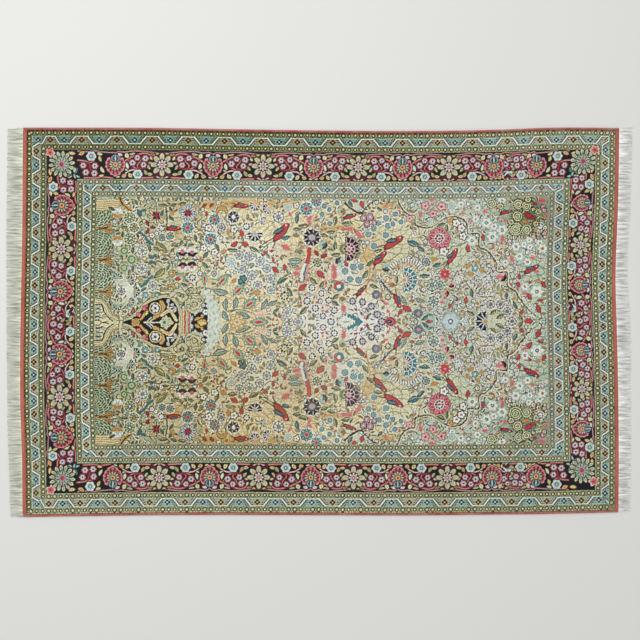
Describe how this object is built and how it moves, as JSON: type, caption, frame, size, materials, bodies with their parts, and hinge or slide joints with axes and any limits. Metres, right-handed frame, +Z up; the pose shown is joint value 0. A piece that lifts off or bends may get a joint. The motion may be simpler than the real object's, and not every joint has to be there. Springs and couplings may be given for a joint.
{
  "type": "kashmir silk rug",
  "caption": "Hand-knotted silk rug laid flat, with a vase and flowering tree field, layered floral borders, red overcast edges and off-white fringes.",
  "frame": {"origin": "middle of the rug's box, on the surface that it lies on", "axes": "+X along the rug's length, +Y across it towards the far selvedge, +Z up out of the pile"},
  "size_m": [1.6094, 0.9984, 0.005],
  "materials": {
    "silk_pile": "satin",
    "red_overcast": "satin",
    "red_web": "matte",
    "warp_fringe": "matte"
  },
  "bodies": {
    "root": {"knotted_pile": "silk_pile", "selvedge_far": "red_overcast", "selvedge_near": "red_overcast", "end_band_left": "red_web", "end_band_right": "red_web", "fringe_left": "warp_fringe", "fringe_right": "warp_fringe"}
  },
  "joints": []
}
